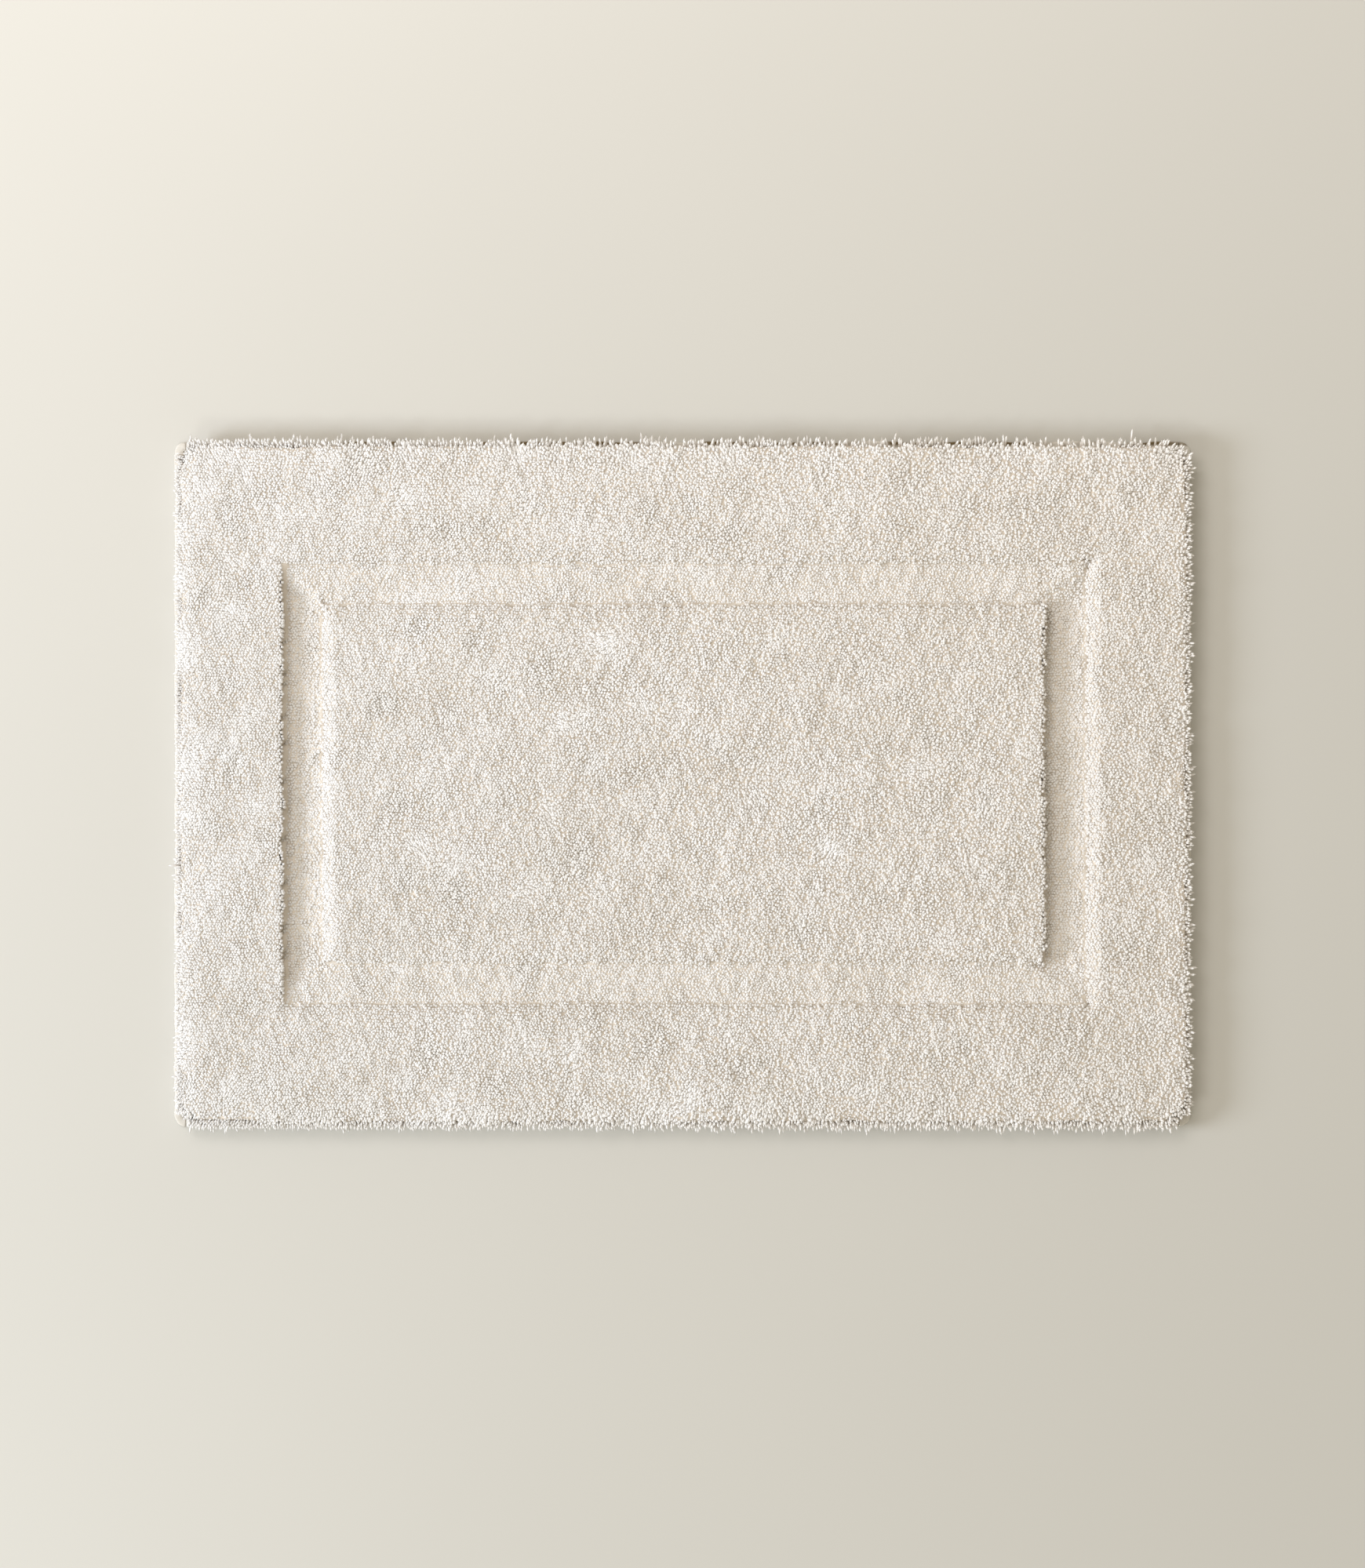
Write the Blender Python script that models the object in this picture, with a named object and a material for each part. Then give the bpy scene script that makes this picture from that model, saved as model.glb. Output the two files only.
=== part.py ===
"""Tufted cotton bath mat with a sheared rectangular channel, lying flat.

The mat is a woven base cloth with a latex coat under it, a cotton tape folded round its edge and
sewn down, and three zones of cut pile: a high border, a low channel and a high field. Metres, +Z up.
The origin is the middle of the underside, with the long side of the mat along X.
"""

import math

import bmesh
import bpy

# Overall size, hem edge to hem edge.
MAT_LENGTH = 0.760
MAT_WIDTH = 0.512

# Layers, from the floor up.
LATEX_THICKNESS = 0.0008
CLOTH_THICKNESS = 0.0010
TAPE_THICKNESS = 0.0008

# Hem tape and its seam.
HEM_LIP = 0.0065
HEM_CORNER_INSIDE = 0.0015
HEM_END_LAND = 0.0005
SEAM_THREAD = 0.0007
SEAM_FROM_LIP_EDGE = 0.0016

# Pile zones, measured inwards from the hem's outer edge.
BORDER_SIDE = 0.080
BORDER_END = 0.092
CHANNEL_WIDTH = 0.030

# Pile heights above the base cloth.
HIGH_PILE = 0.0176
LOW_PILE_SIDE = 0.0068
LOW_PILE_END = 0.0125
OUTER_SHOULDER = 0.0080
CHANNEL_SHOULDER = 0.0050
LOW_SHOULDER = 0.0010
FIELD_CORNER = 0.0060

# Fits and facets.
CLEARANCE = 0.0003
ARC_STEPS = 6
SEAM_SIDES = 6

# Worked out from the sizes above.
CLOTH_BOTTOM = max(LATEX_THICKNESS, TAPE_THICKNESS) + CLEARANCE
CLOTH_TOP = CLOTH_BOTTOM + CLOTH_THICKNESS
PILE_BOTTOM = CLOTH_TOP + CLEARANCE
HEM_TOP = PILE_BOTTOM + TAPE_THICKNESS
HEM_FOLD = HEM_TOP / 2
HEM_SLOT = HEM_FOLD - TAPE_THICKNESS
HEM_CORNER = HEM_LIP + HEM_CORNER_INSIDE
CLOTH_INSET = HEM_FOLD
LATEX_INSET = HEM_LIP + CLEARANCE
HIGH_TOP = CLOTH_TOP + HIGH_PILE
LOW_TOP_SIDE = CLOTH_TOP + LOW_PILE_SIDE
LOW_TOP_END = CLOTH_TOP + LOW_PILE_END
SEAM_INSET = HEM_LIP - SEAM_FROM_LIP_EDGE
SEAM_CENTRE = HEM_TOP + CLEARANCE + SEAM_THREAD / 2
# The pile's square corner stays clear of the hem lip, also where the lip rounds the mat's corner.
PILE_INSET = max(LATEX_INSET, HEM_CORNER - (HEM_CORNER_INSIDE - CLEARANCE) / math.sqrt(2))

MATERIALS = {
    "pile": ((0.720, 0.672, 0.600), 0.95),
    "base_cloth": ((0.640, 0.590, 0.500), 0.90),
    "latex": ((0.560, 0.440, 0.280), 0.55),
    "hem_tape": ((0.760, 0.720, 0.650), 0.85),
    "thread": ((0.800, 0.760, 0.690), 0.70),
}


def clear_scene():
    for obj in list(bpy.data.objects):
        bpy.data.objects.remove(obj)


def make_materials():
    """One Principled material for each kind of stuff in the mat."""
    made = {}
    for name, (colour, roughness) in MATERIALS.items():
        material = bpy.data.materials.new(name)
        material.use_nodes = True
        shader = material.node_tree.nodes["Principled BSDF"]
        shader.inputs["Base Color"].default_value = (*colour, 1.0)
        shader.inputs["Roughness"].default_value = roughness
        shader.inputs["Metallic"].default_value = 0.0
        made[name] = material
    return made


def arc(centre_x, centre_y, radius, start, end, steps=ARC_STEPS):
    """Points along an arc, ends included, with the angles in degrees."""
    angles = [math.radians(start + (end - start) * i / steps) for i in range(steps + 1)]
    return [(centre_x + radius * math.cos(a), centre_y + radius * math.sin(a)) for a in angles]


def add_solid(name, rings, material):
    """A closed solid through rings of points, each joined to the next, with a face on both ends."""
    mesh = bpy.data.meshes.new(name)
    shape = bmesh.new()
    loops = [[shape.verts.new(point) for point in ring] for ring in rings]
    for lower, upper in zip(loops, loops[1:]):
        for i in range(len(lower)):
            j = (i + 1) % len(lower)
            shape.faces.new((lower[i], lower[j], upper[j], upper[i]))
    shape.faces.new(loops[0])
    shape.faces.new(loops[-1])
    bmesh.ops.recalc_face_normals(shape, faces=shape.faces)
    shape.to_mesh(mesh)
    shape.free()
    mesh.materials.append(material)
    mesh.shade_smooth()
    mesh.set_sharp_from_angle(angle=math.radians(35))
    obj = bpy.data.objects.new(name, mesh)
    bpy.context.scene.collection.objects.link(obj)
    return obj


def rounded_outline(inset, corner):
    """The mat's outline moved inwards by inset, with round corners."""
    half_x = MAT_LENGTH / 2 - inset - corner
    half_y = MAT_WIDTH / 2 - inset - corner
    return (
        arc(half_x, -half_y, corner, -90, 0)
        + arc(half_x, half_y, corner, 0, 90)
        + arc(-half_x, half_y, corner, 90, 180)
        + arc(-half_x, -half_y, corner, 180, 270)
    )


def at_height(outline, z):
    return [(x, y, z) for x, y in outline]


def base_cloth(material):
    """The woven backing, its edge held in the fold of the hem."""
    outline = rounded_outline(CLOTH_INSET, HEM_CORNER - CLOTH_INSET)
    add_solid("base_cloth", [at_height(outline, z) for z in (CLOTH_BOTTOM, CLOTH_TOP)], material)


def latex_coat(material):
    """The film of latex on the underside, spread up to the hem."""
    outline = rounded_outline(LATEX_INSET, HEM_CORNER_INSIDE)
    add_solid("latex_coat", [at_height(outline, z) for z in (0.0, LATEX_THICKNESS)], material)


def hem_section():
    """The folded tape as (distance in from the mat's edge, height): a U lying on its side."""
    outside = arc(HEM_FOLD, HEM_FOLD, HEM_FOLD, 270, 90)
    inside = arc(HEM_FOLD, HEM_FOLD, HEM_SLOT, 90, 270)
    upper_end = [(HEM_LIP, HEM_TOP), (HEM_LIP, HEM_TOP - TAPE_THICKNESS)]
    lower_end = [(HEM_LIP, TAPE_THICKNESS), (HEM_LIP, 0.0)]
    return outside + upper_end + inside + lower_end


def side_hem_path(side):
    """(point, inward direction) along a side strip, which turns both corners of its end of the mat."""
    centre_x = side * (MAT_LENGTH / 2 - HEM_CORNER)
    centre_y = MAT_WIDTH / 2 - HEM_CORNER
    end_x = centre_x - side * HEM_END_LAND
    path = [((end_x, -MAT_WIDTH / 2), (0.0, 1.0))]
    for corner_y, first, last in ((-centre_y, -90, 0), (centre_y, 0, 90)):
        for x, y in arc(0.0, 0.0, 1.0, first, last):
            point = (centre_x + side * HEM_CORNER * x, corner_y + HEM_CORNER * y)
            path.append((point, (-side * x, -y)))
    path.append(((end_x, MAT_WIDTH / 2), (0.0, -1.0)))
    return path


def end_hem_path(end):
    """(point, inward direction) along a front or back strip, which butts against the side strips."""
    half = MAT_LENGTH / 2 - HEM_CORNER - HEM_END_LAND - CLEARANCE
    return [((x, end * MAT_WIDTH / 2), (0.0, -end)) for x in (-half, half)]


def hem_strip(name, path, material):
    """The hem's section carried along its path."""
    rings = []
    for (x, y), (inward_x, inward_y) in path:
        rings.append([(x + inward_x * d, y + inward_y * d, z) for d, z in hem_section()])
    add_solid(name, rings, material)


def hem_seam(name, end_a, end_b, material):
    """The run of thread along a hem strip, from end_a to end_b, lying on the upper lip."""
    along_x = end_a[0] != end_b[0]
    ring = [
        (SEAM_THREAD / 2 * math.cos(a), SEAM_THREAD / 2 * math.sin(a))
        for a in (math.tau * (i + 0.5) / SEAM_SIDES for i in range(SEAM_SIDES))
    ]
    rings = []
    for x, y in (end_a, end_b):
        if along_x:
            rings.append([(x, y + across, SEAM_CENTRE + up) for across, up in ring])
        else:
            rings.append([(x + across, y, SEAM_CENTRE + up) for across, up in ring])
    add_solid(name, rings, material)


def pile_section(inner, outer, top, outer_shoulder, inner_shoulder):
    """A band of pile as (distance in from the mat's edge, height), its two top edges rounded."""
    return (
        [(outer, PILE_BOTTOM)]
        + arc(outer + outer_shoulder, top - outer_shoulder, outer_shoulder, 180, 90)
        + arc(inner - inner_shoulder, top - inner_shoulder, inner_shoulder, 90, 0)
        + [(inner, PILE_BOTTOM)]
    )


def mitred_band(name, section, start, finish, along, sign, material):
    """A straight band of pile with both ends cut along the line from the start to the finish corner.

    start and finish are (distance from the side edge, distance from the front or back edge), and the
    section's distances are measured from the edge that the band runs beside.
    """
    across = 1 if along == "x" else 0
    slope = (finish[1 - across] - start[1 - across]) / (finish[across] - start[across])
    half_across = (MAT_LENGTH, MAT_WIDTH)[across] / 2
    half_along = (MAT_LENGTH, MAT_WIDTH)[1 - across] / 2
    rings = []
    for end in (-1, 1):
        ring = []
        for distance, z in section:
            mitre = start[1 - across] + (distance - start[across]) * slope
            reach = end * (half_along - mitre - CLEARANCE)
            place = sign * (half_across - distance)
            ring.append((reach, place, z) if along == "x" else (place, reach, z))
        rings.append(ring)
    add_solid(name, rings, material)


def border_pile(material):
    """The high border, in four bands that meet at the mat's corners."""
    corner_out = (PILE_INSET, PILE_INSET)
    corner_in = (BORDER_SIDE, BORDER_END)
    for side, along, sign, inner in (
        ("left", "y", -1, BORDER_SIDE),
        ("right", "y", 1, BORDER_SIDE),
        ("front", "x", -1, BORDER_END),
        ("back", "x", 1, BORDER_END),
    ):
        section = pile_section(inner, PILE_INSET, HIGH_TOP, OUTER_SHOULDER, CHANNEL_SHOULDER)
        mitred_band(f"border_pile_{side}", section, corner_out, corner_in, along, sign, material)


def channel_pile(material):
    """The low channel, in four bands between the border and the field, deeper down the two sides."""
    corner_out = (BORDER_SIDE, BORDER_END)
    corner_in = (BORDER_SIDE + CHANNEL_WIDTH, BORDER_END + CHANNEL_WIDTH)
    for side, along, sign, outer, top in (
        ("left", "y", -1, BORDER_SIDE, LOW_TOP_SIDE),
        ("right", "y", 1, BORDER_SIDE, LOW_TOP_SIDE),
        ("front", "x", -1, BORDER_END, LOW_TOP_END),
        ("back", "x", 1, BORDER_END, LOW_TOP_END),
    ):
        section = pile_section(
            outer + CHANNEL_WIDTH - CLEARANCE, outer + CLEARANCE, top, LOW_SHOULDER, LOW_SHOULDER
        )
        mitred_band(f"channel_pile_{side}", section, corner_out, corner_in, along, sign, material)


def field_pile(material):
    """The high middle field, one block with a rounded top edge."""
    half_x = MAT_LENGTH / 2 - BORDER_SIDE - CHANNEL_WIDTH
    half_y = MAT_WIDTH / 2 - BORDER_END - CHANNEL_WIDTH
    levels = [(0.0, PILE_BOTTOM)]
    for x, z in arc(0.0, 0.0, CHANNEL_SHOULDER, 0, 90):
        levels.append((CHANNEL_SHOULDER - x, HIGH_TOP - CHANNEL_SHOULDER + z))
    rings = []
    for inset, z in levels:
        corner = FIELD_CORNER - inset
        straight_x = half_x - FIELD_CORNER
        straight_y = half_y - FIELD_CORNER
        outline = (
            arc(straight_x, -straight_y, corner, -90, 0)
            + arc(straight_x, straight_y, corner, 0, 90)
            + arc(-straight_x, straight_y, corner, 90, 180)
            + arc(-straight_x, -straight_y, corner, 180, 270)
        )
        rings.append(at_height(outline, z))
    add_solid("field_pile", rings, material)


def hem(tape, thread):
    """Four strips of tape and the four seams that sew them down."""
    seam_x = MAT_LENGTH / 2 - SEAM_INSET
    seam_y = MAT_WIDTH / 2 - SEAM_INSET
    end_x = MAT_LENGTH / 2 - HEM_CORNER
    end_y = MAT_WIDTH / 2 - HEM_CORNER
    for name, sign in (("left", -1), ("right", 1)):
        hem_strip(f"hem_{name}", side_hem_path(sign), tape)
        hem_seam(f"hem_seam_{name}", (sign * seam_x, -end_y), (sign * seam_x, end_y), thread)
    for name, sign in (("front", -1), ("back", 1)):
        hem_strip(f"hem_{name}", end_hem_path(sign), tape)
        hem_seam(f"hem_seam_{name}", (-end_x, sign * seam_y), (end_x, sign * seam_y), thread)


def build():
    clear_scene()
    materials = make_materials()
    latex_coat(materials["latex"])
    base_cloth(materials["base_cloth"])
    hem(materials["hem_tape"], materials["thread"])
    border_pile(materials["pile"])
    channel_pile(materials["pile"])
    field_pile(materials["pile"])


build()
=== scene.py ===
import math

import bpy
import numpy as np
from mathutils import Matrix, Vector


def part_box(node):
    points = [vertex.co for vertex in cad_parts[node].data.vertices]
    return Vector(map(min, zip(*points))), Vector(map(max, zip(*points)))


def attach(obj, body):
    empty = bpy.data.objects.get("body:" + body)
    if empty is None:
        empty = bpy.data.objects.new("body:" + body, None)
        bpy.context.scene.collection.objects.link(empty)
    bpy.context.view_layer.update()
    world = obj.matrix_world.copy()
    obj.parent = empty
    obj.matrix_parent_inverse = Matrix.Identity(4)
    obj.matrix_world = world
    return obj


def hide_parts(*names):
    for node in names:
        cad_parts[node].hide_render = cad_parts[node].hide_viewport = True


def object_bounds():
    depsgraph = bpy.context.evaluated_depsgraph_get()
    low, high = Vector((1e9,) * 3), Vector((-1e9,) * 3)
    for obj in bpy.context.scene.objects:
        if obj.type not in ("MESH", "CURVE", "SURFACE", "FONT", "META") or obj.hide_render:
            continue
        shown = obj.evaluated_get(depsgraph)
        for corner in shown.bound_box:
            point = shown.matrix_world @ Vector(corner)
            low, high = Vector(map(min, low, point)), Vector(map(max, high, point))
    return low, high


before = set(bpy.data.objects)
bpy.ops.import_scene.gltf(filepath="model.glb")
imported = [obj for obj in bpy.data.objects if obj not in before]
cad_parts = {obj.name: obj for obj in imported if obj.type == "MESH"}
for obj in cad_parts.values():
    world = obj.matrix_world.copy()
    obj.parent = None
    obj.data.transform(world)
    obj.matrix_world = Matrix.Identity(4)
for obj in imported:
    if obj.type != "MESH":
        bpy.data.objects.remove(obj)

# A tufted cotton bath mat lying on a pale floor. Every tuft is its own cut yarn, rooted in the base
# cloth. A sheared channel runs round between a high border and a high field. Metres, +Z up.

CAD_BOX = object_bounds()
BODY = "root"


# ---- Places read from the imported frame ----

def low(node, axis):
    return float(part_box(node)[0][axis])


def high(node, axis):
    return float(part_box(node)[1][axis])


X, Y, Z = 0, 1, 2
HALF_X = high("hem_right", X)
HALF_Y = high("hem_back", Y)
ROOT_X = high("border_pile_right", X)
ROOT_Y = high("border_pile_back", Y)
BORDER_X = low("border_pile_right", X)
BORDER_Y = low("border_pile_back", Y)
FIELD_X = high("field_pile", X)
FIELD_Y = high("field_pile", Y)
CLOTH_TOP = high("base_cloth", Z)
CLOTH_BOTTOM = low("base_cloth", Z)
HIGH_PILE = high("field_pile", Z) - CLOTH_TOP
LOW_PILE_SIDE = high("channel_pile_left", Z) - CLOTH_TOP
LOW_PILE_END = high("channel_pile_front", Z) - CLOTH_TOP
HEM_TOP = high("hem_left", Z)
HEM_LIP = high("hem_front", Y) - low("hem_front", Y)
HEM_CORNER = high("hem_right", X) - low("hem_right", X)

# ---- Yarn and pile, in metres ----

# Tips stand on a hexagonal grid of TUFT_PITCH, each moved by up to TUFT_JITTER of it.
SEED = 41
TUFT_PITCH = 0.00214
TUFT_JITTER = 0.24
YARN_RADIUS = 0.00138
ROOT_SINK = 0.0002

# The outward lean at the sides and at the ends, how fast it dies out inwards, and its calm corners.
SPLAY_LEAN = (0.0080, 0.0100)
SPLAY_REACH = (0.012, 0.018)
CALM_CORNER = 0.020

# The lean over the channel, for walls that face right, left and an end, and how fast it dies out.
CHANNEL_LEAN = (0.0008, 0.0032, 0.0010)
CHANNEL_REACH = 0.008

# The lean in clumps, in swirls that calm down near an edge, and by chance, more so at the rim.
CLUMP_LEAN = 0.00055
SWIRL_LEAN = 0.0026
CALM_REACH = 0.009
LOOSE_LEAN = 0.00038
RIM_LOOSE = 0.0009

# The height's slow roll, and its chance in the high pile and in the channel's (sides, ends).
HEIGHT_ROLL = 0.00035
HEIGHT_SPREAD = 0.00022
LOW_SPREAD = (0.00040, 0.00016)

# The channel: how its edges waver, how far the left border hangs over it, how its sides climb to
# the right, and how wide the band of fuller yarns along its walls is.
EDGE_WAVE = 0.0005
OVERHANG = 0.0024
CHANNEL_SLOPE = 0.0042
WALL_ROWS = 0.0034

# The nap of loose fibre: its depth below the tips, its grid, how far its foot keeps inside the
# roots' edge, how far it keeps back from the channel (across, along), runs on under the channel's
# walls and ends short of the outermost tips, and how far the channel's may climb at its walls.
NAP_DEPTH = 0.0023
LOW_NAP_DEPTH = 0.0019
NAP_PITCH = 0.0040
NAP_INSET = 0.0020
NAP_BACK = (0.0022, 0.0011)
NAP_UNDER = 0.0020
NAP_SHORT = (0.0042, 0.0060)
FOOT_RISE = 0.0042

# The shoulders beside the channel, as (width, drop, power): the shaded one that faces right, the
# lit one that faces left, and the soft one across the ends.
SHADED_SHOULDER = (0.0030, 0.0012, 2.0)
LIT_SHOULDER = (0.0120, 0.0078, 1.3)
END_SHOULDER = (0.0140, 0.0036, 2.0)

# How much of the chance in the pile is combed out at the lit shoulder.
LIT_SMOOTH = 0.75

# How loosely the pile lies at the left end, in the middle and to the right.
COMBED = (0.35, 1.0, 1.25)

# The channel's low sides meet its higher ends in a blend this wide, on a line of this slope.
MITRE_SLOPE = 0.67
MITRE_BLEND = 0.018

# The mat's left edge is pressed down in a soft roll: (width, drop, power).
LEFT_ROLL = (0.0240, 0.0045, 1.6)

# How far the outermost tips reach, and how much of each corner is left bare of roots.
TIP_X = ROOT_X + SPLAY_LEAN[0]
TIP_Y = ROOT_Y + SPLAY_LEAN[1]
CORNER_CUT = 0.0050

# The kinds of tuft: (shares of its length, widths there, sides, length of its pointed tip).
WALL_TUFT = ((0.12, 0.50, 1.0), (1.00, 1.10, 0.94), 4, 0.0017)
PLAIN_TUFT = ((0.55, 1.0), (1.0, 0.92), 4, 0.0017)
RIM_TUFT = ((0.12, 0.50, 1.0), (0.55, 0.72, 0.60), 5, 0.0020)

# The rim is RIM_ROWS wide. Each of its tufts has a shorter one under it, and a share of them have a
# stray that pokes out. SPARSE_BACK is a band along the back edge, and the share left out of it.
RIM_ROWS = 0.0030
UNDER_SHIFT = 0.0007
UNDER_LEAN = (0.70, 1.20)
UNDER_RISE = (0.45, 0.95)
STRAY_SHARE = 0.20
STRAY_LEAN = ((0.0060, 0.0095), (0.0088, 0.0122))
STRAY_TWIST = 0.0014
STRAY_RISE = (0.0050, 0.0120)
SPARSE_BACK = (0.0030, 0.50)

# How much chance may take off a tuft's tone in the middle of the mat.
DULL_TUFTS = 0.28

# ---- Hem, seam and latex, in metres ----

# The tape is as thick as the cloth's underside is high, less the gap between layers.
LAYER_GAP = 0.0003
TAPE_THICKNESS = CLOTH_BOTTOM - LAYER_GAP
HEM_STEP = 0.0020
HEM_WAVER = 0.00035
HEM_LIFT = 0.00018
STITCH_PINCH = 0.00012
STITCH_PITCH = 0.0030
STITCH_LENGTH = 0.0024
STITCH_RADIUS = 0.00028
STITCH_RISE = 0.0003
STITCH_SINK = 0.0001
SEAM_INSET = HALF_Y - (high("hem_seam_back", Y) + low("hem_seam_back", Y)) / 2
BACK_STITCH_PITCH = 0.004
BACK_STITCH_DEPTH = 0.00025

# The dark brown on the back fold begins this far in from the back edge and is full at this distance.
FOLD_BAND = (0.0040, 0.0018)

# ---- Colours ----

PILE_COLOURS = ((0.770, 0.708, 0.645), (0.884, 0.859, 0.840))
PILE_DRIFT = ((0.965, 0.960, 0.950), (1.0, 1.0, 1.0))
# Painted shade: the tan each yarn is darkened to towards its root, deep in the pile.
ROOT_SHADE_COLOUR = (0.640, 0.550, 0.440)
# Painted shade: the pile's colour is dimmed towards the left end, against the stronger window light
# there.
PAINTED_LEFT_SHADE = ((0.918, 0.928, 0.938), (1.0, 1.0, 1.0))
BACKING_COLOURS = ((0.64, 0.57, 0.46), (0.40, 0.33, 0.24))
TAPE_COLOURS = ((0.69, 0.66, 0.61), (0.58, 0.53, 0.46))
FOLD_BROWN = (0.15, 0.105, 0.05)
LATEX_COLOURS = ((0.50, 0.37, 0.22), (0.64, 0.52, 0.36))
THREAD_COLOURS = ((0.70, 0.65, 0.57), (0.83, 0.79, 0.72))
FLOOR_COLOUR = (0.592, 0.574, 0.532)

# ---- Camera ----

# The view is VIEW_HEIGHT metres tall at the mat. The lens and the sensor are in millimetres.
VIEW_HEIGHT = 1.173
LENS = 100.0
SENSOR = 36.0


# ---- Meshes from arrays ----

def mesh_piece(name, points, face_groups, material, smooth=True, loop_uv=None, point_values=None):
    """A mesh object from an array of points and one array of faces for each face size.

    loop_uv has one (u, v) for each face corner, in face order, and point_values names one number
    for each point.
    """
    sizes = np.concatenate([np.full(len(group), group.shape[1]) for group in face_groups])
    corners = np.concatenate([group.ravel() for group in face_groups]).astype(np.int32)
    mesh = bpy.data.meshes.new(name)
    mesh.vertices.add(len(points))
    mesh.vertices.foreach_set("co", np.asarray(points, np.float32).ravel())
    mesh.loops.add(len(corners))
    mesh.loops.foreach_set("vertex_index", corners)
    mesh.polygons.add(len(sizes))
    starts = np.concatenate([[0], np.cumsum(sizes)[:-1]]).astype(np.int32)
    mesh.polygons.foreach_set("loop_start", starts)
    mesh.polygons.foreach_set("use_smooth", np.full(len(sizes), smooth))
    mesh.update(calc_edges=True)
    if loop_uv is not None:
        layer = mesh.uv_layers.new(name="surface")
        layer.uv.foreach_set("vector", np.asarray(loop_uv, np.float32).ravel())
    for key, values in (point_values or {}).items():
        attribute = mesh.attributes.new(key, "FLOAT", "POINT")
        attribute.data.foreach_set("value", np.asarray(values, np.float32))
    mesh.validate()
    mesh.materials.append(material)
    piece = bpy.data.objects.new(name, mesh)
    bpy.context.scene.collection.objects.link(piece)
    return piece


def stand_in(piece, slot, *nodes):
    """Hangs a finished piece on the mat's one body, in place of its CAD nodes."""
    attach(piece, BODY)
    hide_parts(*nodes)
    return piece


# ---- Noise that rolls over the mat ----

def rolling_noise(points, shortest, longest, seed, waves=36):
    """A sum of plane cosine waves with random headings, lengths and phases, and a spread of 1.

    Returns the value at each point and its slope, scaled to a spread of 1 as well.
    """
    rng = np.random.default_rng(seed)
    heading = rng.uniform(0, math.tau, waves)
    length = np.exp(rng.uniform(math.log(shortest), math.log(longest), waves))
    phase = rng.uniform(0, math.tau, waves)
    pull = (math.tau / length)[:, None] * np.stack([np.cos(heading), np.sin(heading)], axis=1)
    angle = points @ pull.T + phase
    value = np.cos(angle).sum(axis=1) * math.sqrt(2 / waves)
    slope = -np.sin(angle) @ pull
    return value, slope / math.sqrt((pull ** 2).sum() / 2)


# ---- Where the tufts stand and how they lie ----

def tuft_tips():
    """A hexagonal grid of tips over the pile and its splayed rim, each moved a little by chance."""
    rng = np.random.default_rng(SEED)
    row_pitch = TUFT_PITCH * math.sqrt(3) / 2
    columns = int(TIP_X / TUFT_PITCH)
    rows = int(TIP_Y / row_pitch)
    column, row = np.meshgrid(np.arange(-columns, columns + 1), np.arange(-rows, rows + 1))
    x = (column + 0.5 * (row % 2)) * TUFT_PITCH
    y = row * row_pitch
    points = np.stack([x.ravel(), y.ravel()], axis=1)
    return points + rng.uniform(-TUFT_JITTER, TUFT_JITTER, points.shape) * TUFT_PITCH


def clear_of_corners(roots):
    """Which roots lie clear of the hem's round corners."""
    margin = np.array((ROOT_X, ROOT_Y)) - np.abs(roots)
    return margin.sum(axis=1) > CORNER_CUT


def from_middle(points):
    """Distance from each middle line, wavering a little. The left border hangs over by OVERHANG."""
    wave, _ = rolling_noise(points, 0.008, 0.060, SEED + 8)
    across = np.abs(points) + EDGE_WAVE * wave[:, None]
    across[:, 0] += OVERHANG * (points[:, 0] < -(FIELD_X + BORDER_X) / 2)
    return across


def zone_masks(points):
    """Which tufts are in the field, the channel and the border."""
    across = from_middle(points)
    field = (across[:, 0] < FIELD_X) & (across[:, 1] < FIELD_Y)
    border = (across[:, 0] > BORDER_X) | (across[:, 1] > BORDER_Y)
    return field, ~field & ~border, border


def to_channel(points, field, border):
    """Distance of each high tuft from the channel's edge, and the direction to it."""
    across = from_middle(points)
    sign = np.sign(points)
    over = np.maximum(across - (BORDER_X, BORDER_Y), 0)
    border_gap = np.hypot(over[:, 0], over[:, 1])
    border_way = -sign * over / np.maximum(border_gap, 1e-9)[:, None]
    inside = np.array((FIELD_X, FIELD_Y)) - across
    field_gap = inside.min(axis=1)
    near = np.exp(-(inside - field_gap[:, None]) / 0.002)
    field_way = sign * near / np.hypot(near[:, 0], near[:, 1])[:, None]
    gap = np.where(field, field_gap, np.where(border, border_gap, 1.0))
    way = np.where(field[:, None], field_way, np.where(border[:, None], border_way, 0.0))
    return gap, way


def down_the_side(points):
    """1 for channel tufts down the two sides, 0 across the ends, blended at the corners."""
    past = np.abs(points) - (FIELD_X, FIELD_Y)
    return ((MITRE_SLOPE * past[:, 0] - past[:, 1]) / MITRE_BLEND + 0.5).clip(0, 1)


def channel_height(points):
    """The sheared pile's height: lower down the sides than across the ends, blended at the corners.

    Down the sides it also climbs by CHANNEL_SLOPE from the channel's left wall to its right one.
    """
    share = down_the_side(points)
    middle = np.sign(points[:, 0]) * (FIELD_X + BORDER_X) / 2
    slope = (points[:, 0] - middle) / (BORDER_X - FIELD_X)
    side = LOW_PILE_SIDE + CHANNEL_SLOPE * slope.clip(-0.5, 0.5)
    return LOW_PILE_END + (side - LOW_PILE_END) * share


def combed(points):
    """How loosely the pile lies: combed smooth at the left end, rougher towards the right."""
    return np.interp(points[:, 0], (-HALF_X, 0.0, 0.6 * HALF_X), COMBED)


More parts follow.
